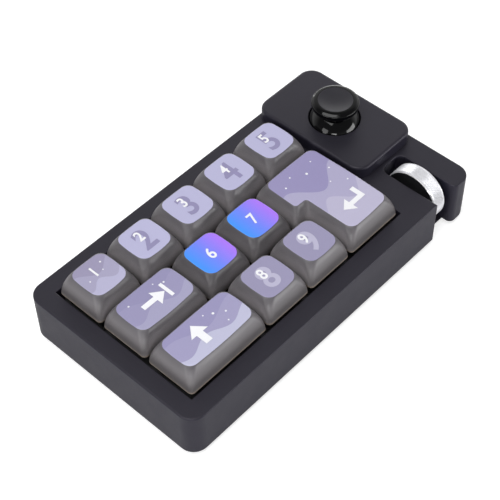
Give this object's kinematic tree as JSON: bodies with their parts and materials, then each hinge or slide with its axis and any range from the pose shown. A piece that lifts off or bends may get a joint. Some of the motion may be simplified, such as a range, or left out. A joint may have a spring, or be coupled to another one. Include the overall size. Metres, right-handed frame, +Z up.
{
  "type": "gaming keypad",
  "caption": "One-handed gaming keypad: sprung mechanical keys in a black case, a tilting thumbstick under a raised cover, and a knurled thumb wheel turning in a slot at the end.",
  "frame": {"origin": "on the desk, under the middle of the case", "axes": "+X along the keypad towards the thumbstick and wheel, +Y towards the back row of keys, +Z up"},
  "size_m": [0.1324, 0.0708, 0.0317],
  "materials": {
    "case_black": "fine matte texture",
    "keycap_smoke": "smoky translucent satin",
    "keycap_gradient": "smoky translucent satin",
    "switch_black": "moulded",
    "stem_white": "moulded",
    "spring_steel": "drawn wire",
    "plate_black": "powder coated",
    "board_black": "solder mask",
    "stick_gloss": "polished",
    "gimbal_grey": "moulded",
    "hub_black": "satin",
    "wheel_chrome": "fine knurl",
    "steel": "turned",
    "bush_brass": "turned",
    "foot_rubber": "matte"
  },
  "bodies": {
    "case": {"upper_case": "case_black", "bottom_cover": "case_black", "rubber_feet": "foot_rubber", "joystick_cover": "case_black", "switch_plate": "plate_black", "circuit_board": "board_black", "switch_lower_housings": "switch_black", "switch_upper_housings": "switch_black", "stabiliser_housings": "switch_black", "joystick_base": "gimbal_grey", "joystick_spring": "spring_steel", "axle_bush": "bush_brass", "wheel_encoder": "switch_black", "usb_socket": "steel", "spring_1": "spring_steel", "spring_2": "spring_steel", "spring_3": "spring_steel", "spring_4": "spring_steel", "spring_5": "spring_steel", "spring_tab": "spring_steel", "spring_6": "spring_steel", "spring_7": "spring_steel", "spring_shift": "spring_steel", "spring_8": "spring_steel", "spring_9": "spring_steel", "spring_enter": "spring_steel"},
    "key_1": {"keycap_1": "keycap_smoke", "stem_1": "stem_white"},
    "key_2": {"keycap_2": "keycap_smoke", "stem_2": "stem_white"},
    "key_3": {"keycap_3": "keycap_smoke", "stem_3": "stem_white"},
    "key_4": {"keycap_4": "keycap_smoke", "stem_4": "stem_white"},
    "key_5": {"keycap_5": "keycap_smoke", "stem_5": "stem_white"},
    "key_tab": {"keycap_tab": "keycap_smoke", "stem_tab": "stem_white"},
    "key_6": {"keycap_6": "keycap_gradient", "stem_6": "stem_white"},
    "key_7": {"keycap_7": "keycap_gradient", "stem_7": "stem_white"},
    "key_shift": {"keycap_shift": "keycap_smoke", "stem_shift": "stem_white"},
    "key_8": {"keycap_8": "keycap_smoke", "stem_8": "stem_white"},
    "key_9": {"keycap_9": "keycap_smoke", "stem_9": "stem_white"},
    "key_enter": {"keycap_enter": "keycap_smoke", "stem_enter": "stem_white", "stabiliser_stems": "stem_white"},
    "stabiliser_wire": {"stabiliser_wire": "steel"},
    "yoke": {"joystick_yoke": "gimbal_grey"},
    "rocker": {"joystick_rocker": "gimbal_grey"},
    "stick": {"joystick_shaft": "steel", "joystick_cap": "stick_gloss"},
    "wheel": {"wheel_rim": "wheel_chrome", "wheel_hub": "hub_black", "wheel_axle": "steel"}
  },
  "joints": [
    {"name": "key_1_press", "type": "slide", "parent": "case", "child": "key_1", "axis": [0, 0, -1], "range_m": [0, 0.004], "stiffness_N_per_m": 75, "springref_m": -0.004, "deforming": ["spring_1"]},
    {"name": "key_2_press", "type": "slide", "parent": "case", "child": "key_2", "axis": [0, 0, -1], "range_m": [0, 0.004], "stiffness_N_per_m": 75, "springref_m": -0.004, "deforming": ["spring_2"]},
    {"name": "key_3_press", "type": "slide", "parent": "case", "child": "key_3", "axis": [0, 0, -1], "range_m": [0, 0.004], "stiffness_N_per_m": 75, "springref_m": -0.004, "deforming": ["spring_3"]},
    {"name": "key_4_press", "type": "slide", "parent": "case", "child": "key_4", "axis": [0, 0, -1], "range_m": [0, 0.004], "stiffness_N_per_m": 75, "springref_m": -0.004, "deforming": ["spring_4"]},
    {"name": "key_5_press", "type": "slide", "parent": "case", "child": "key_5", "axis": [0, 0, -1], "range_m": [0, 0.004], "stiffness_N_per_m": 75, "springref_m": -0.004, "deforming": ["spring_5"]},
    {"name": "key_tab_press", "type": "slide", "parent": "case", "child": "key_tab", "axis": [0, 0, -1], "range_m": [0, 0.004], "stiffness_N_per_m": 75, "springref_m": -0.004, "deforming": ["spring_tab"]},
    {"name": "key_6_press", "type": "slide", "parent": "case", "child": "key_6", "axis": [0, 0, -1], "range_m": [0, 0.004], "stiffness_N_per_m": 75, "springref_m": -0.004, "deforming": ["spring_6"]},
    {"name": "key_7_press", "type": "slide", "parent": "case", "child": "key_7", "axis": [0, 0, -1], "range_m": [0, 0.004], "stiffness_N_per_m": 75, "springref_m": -0.004, "deforming": ["spring_7"]},
    {"name": "key_shift_press", "type": "slide", "parent": "case", "child": "key_shift", "axis": [0, 0, -1], "range_m": [0, 0.004], "stiffness_N_per_m": 75, "springref_m": -0.004, "deforming": ["spring_shift"]},
    {"name": "key_8_press", "type": "slide", "parent": "case", "child": "key_8", "axis": [0, 0, -1], "range_m": [0, 0.004], "stiffness_N_per_m": 75, "springref_m": -0.004, "deforming": ["spring_8"]},
    {"name": "key_9_press", "type": "slide", "parent": "case", "child": "key_9", "axis": [0, 0, -1], "range_m": [0, 0.004], "stiffness_N_per_m": 75, "springref_m": -0.004, "deforming": ["spring_9"]},
    {"name": "key_enter_press", "type": "slide", "parent": "case", "child": "key_enter", "axis": [0, 0, -1], "range_m": [0, 0.004], "stiffness_N_per_m": 75, "springref_m": -0.004, "deforming": ["spring_enter"]},
    {"name": "stabiliser_rock", "type": "hinge", "parent": "case", "child": "stabiliser_wire", "pos_m": [0.03279, -0.00953, 0.0146], "axis": [0, -1, 0], "range_deg": [0, 26.28]},
    {"name": "stick_tilt_x", "type": "hinge", "parent": "case", "child": "yoke", "pos_m": [0.0519, 0.0123, 0.0191], "axis": [1, 0, 0], "range_deg": [-18, 18], "stiffness_Nm_per_rad": 0.024, "deforming": ["joystick_spring"]},
    {"name": "stick_tilt_y", "type": "hinge", "parent": "yoke", "child": "rocker", "pos_m": [0.0519, 0.0123, 0.0191], "axis": [0, 1, 0], "range_deg": [-18, 18], "stiffness_Nm_per_rad": 0.024},
    {"name": "stick_press", "type": "slide", "parent": "rocker", "child": "stick", "axis": [0, 0, -1], "range_m": [0, 0.0005], "stiffness_N_per_m": 400, "springref_m": -0.004},
    {"name": "wheel_spin", "type": "hinge", "parent": "case", "child": "wheel", "pos_m": [0.05233, -0.02307, 0.01155], "axis": [1, 0, 0], "continuous": true}
  ],
  "couplings": [
    {"joint": "stabiliser_rock", "follows": "key_enter_press", "rad_per_m": 114.64}
  ]
}
